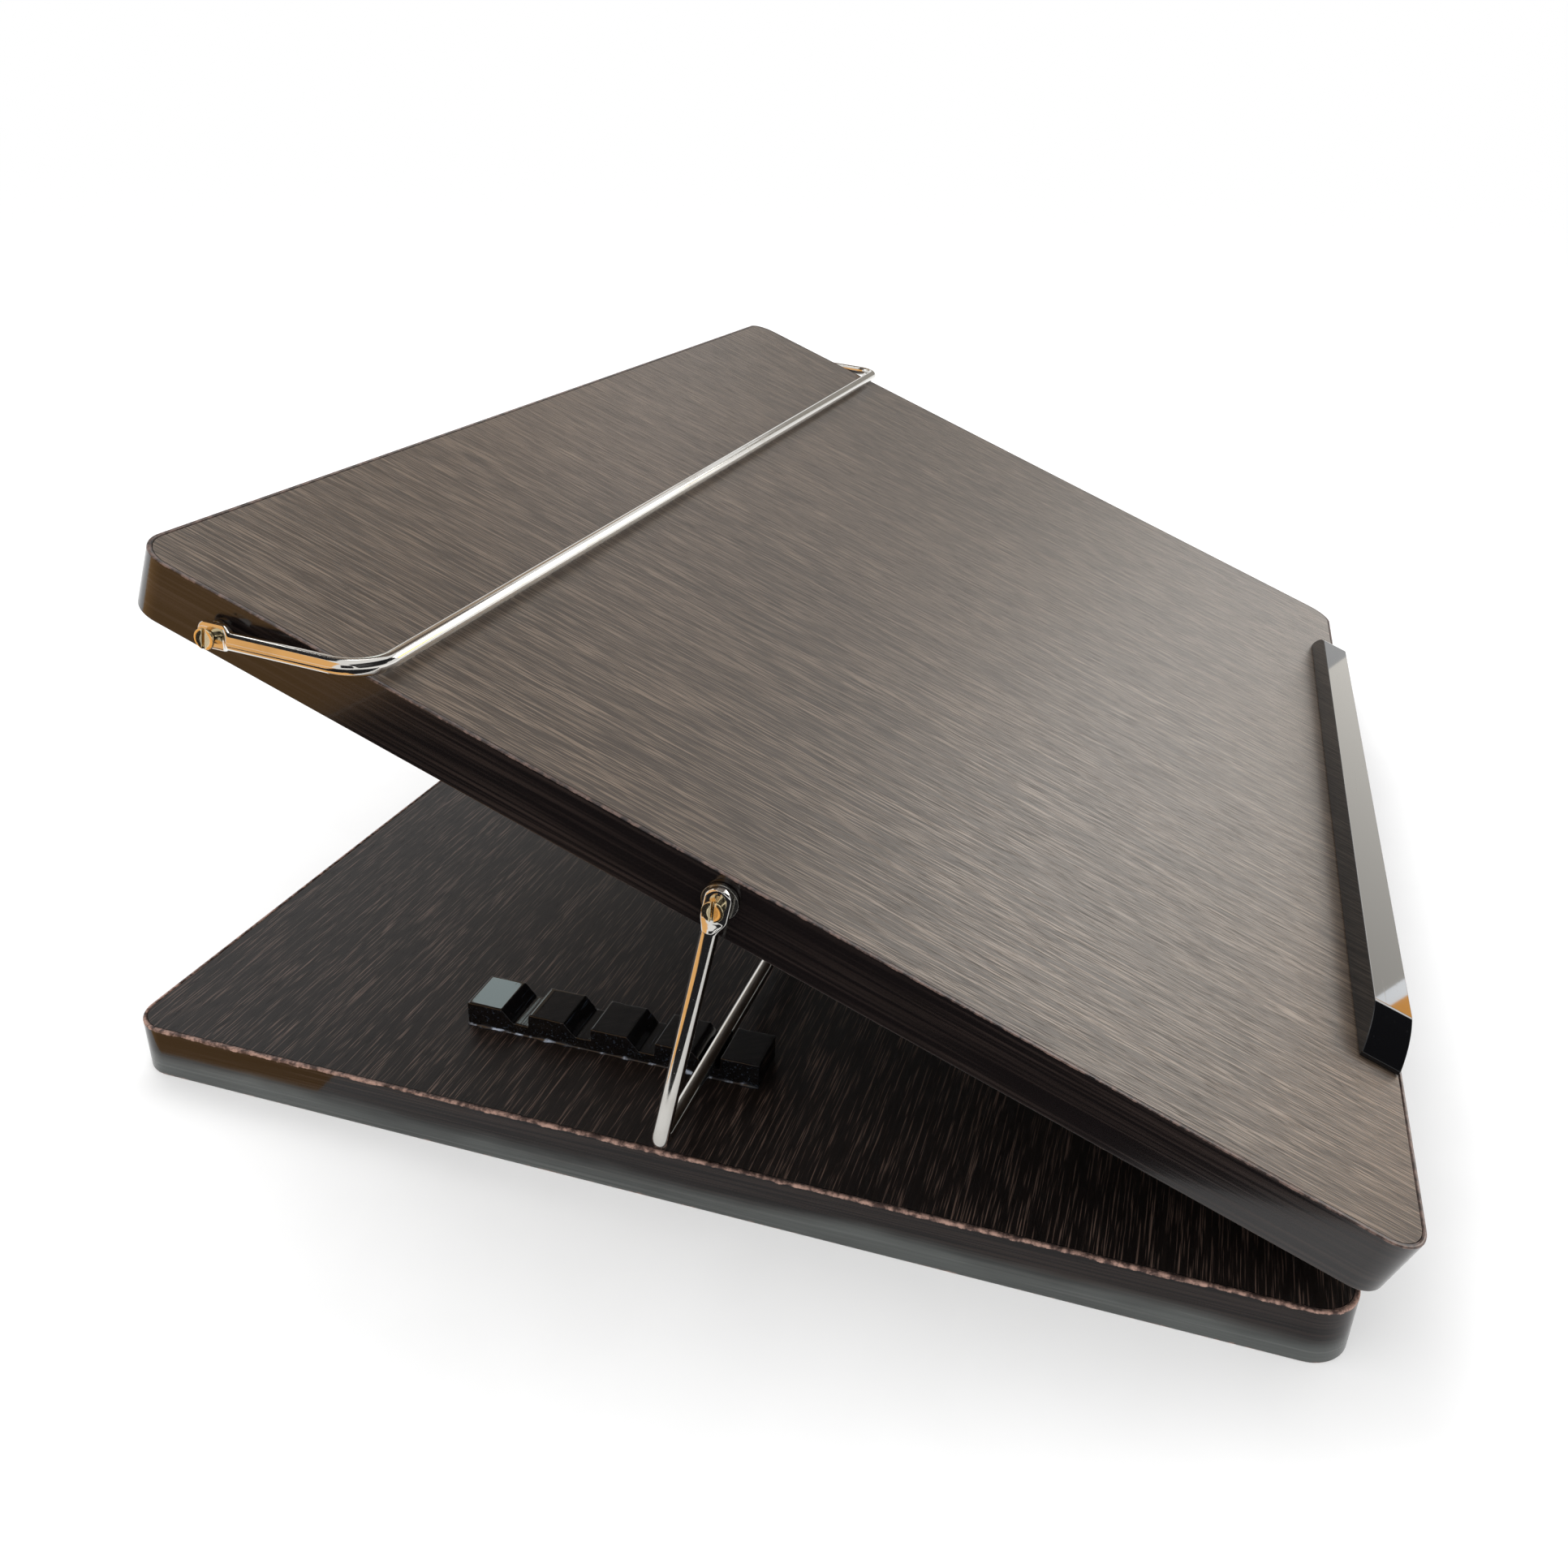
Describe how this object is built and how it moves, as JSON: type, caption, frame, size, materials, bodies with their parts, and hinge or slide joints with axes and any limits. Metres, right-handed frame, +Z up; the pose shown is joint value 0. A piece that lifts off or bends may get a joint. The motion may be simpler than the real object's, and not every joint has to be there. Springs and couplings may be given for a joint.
{
  "type": "laptop stand",
  "caption": "Laptop stand: a laminated board hinged on a flat base, propped by a wire leg in notched racks, with a front lip and a swinging wire page holder.",
  "frame": {"origin": "centre of the base's underside, on the surface that the stand rests on", "axes": "+X to the user's right, +Y away from the user, +Z up"},
  "size_m": [0.5392, 0.3932, 0.1824],
  "materials": {
    "board_laminate": "dark wenge laminate, fine front-to-back streaks, satin",
    "base_laminate": "very dark wenge laminate, coarse side-to-side streaks, satin",
    "edge_band": "glossy dark brown edge band with lengthwise streaks",
    "core_wood": "raw particle core, hidden",
    "black_acrylic": "polished black acrylic",
    "chrome_wire": "bright chrome plated steel",
    "screw_brass": "plated steel, slightly yellow, brushed",
    "hinge_steel": "plated steel, satin"
  },
  "bodies": {
    "base": {"base_core": "core_wood", "base_top_laminate": "base_laminate", "base_bottom_laminate": "base_laminate", "base_edge_band": "edge_band", "rack_left": "black_acrylic", "rack_right": "black_acrylic", "hinge_left_base_leaf": "hinge_steel", "hinge_left_base_screw_1": "hinge_steel", "hinge_left_base_screw_2": "hinge_steel", "hinge_left_base_screw_3": "hinge_steel", "hinge_left_pin": "hinge_steel", "hinge_right_base_leaf": "hinge_steel", "hinge_right_base_screw_1": "hinge_steel", "hinge_right_base_screw_2": "hinge_steel", "hinge_right_base_screw_3": "hinge_steel", "hinge_right_pin": "hinge_steel"},
    "board": {"board_core": "core_wood", "board_top_laminate": "board_laminate", "board_bottom_laminate": "base_laminate", "board_edge_band": "edge_band", "front_lip": "black_acrylic", "hinge_left_board_leaf": "hinge_steel", "hinge_left_board_screw_1": "hinge_steel", "hinge_left_board_screw_2": "hinge_steel", "hinge_left_board_screw_3": "hinge_steel", "leg_screw_left": "screw_brass", "leg_washer_left": "chrome_wire", "page_holder_screw_left": "screw_brass", "page_holder_washer_left": "chrome_wire", "hinge_right_board_leaf": "hinge_steel", "hinge_right_board_screw_1": "hinge_steel", "hinge_right_board_screw_2": "hinge_steel", "hinge_right_board_screw_3": "hinge_steel", "leg_screw_right": "screw_brass", "leg_washer_right": "chrome_wire", "page_holder_screw_right": "screw_brass", "page_holder_washer_right": "chrome_wire"},
    "leg": {"leg_wire": "chrome_wire"},
    "page_holder": {"page_holder_wire": "chrome_wire"}
  },
  "joints": [
    {"name": "board_tilt", "type": "hinge", "parent": "base", "child": "board", "pos_m": [0, -0.19, 0.022], "axis": [1, 0, 0], "range_deg": [0, 65]},
    {"name": "leg_swing", "type": "hinge", "parent": "board", "child": "leg", "pos_m": [0, -0.01704, 0.10712], "axis": [1, 0, 0], "range_deg": [-65, 0]},
    {"name": "page_holder_swing", "type": "hinge", "parent": "board", "child": "page_holder", "pos_m": [0, 0.1258, 0.16145], "axis": [-1, 0, 0], "range_deg": [0, 325]}
  ],
  "couplings": [
    {"joint": "leg_swing", "follows": "board_tilt", "ratio": -1}
  ]
}
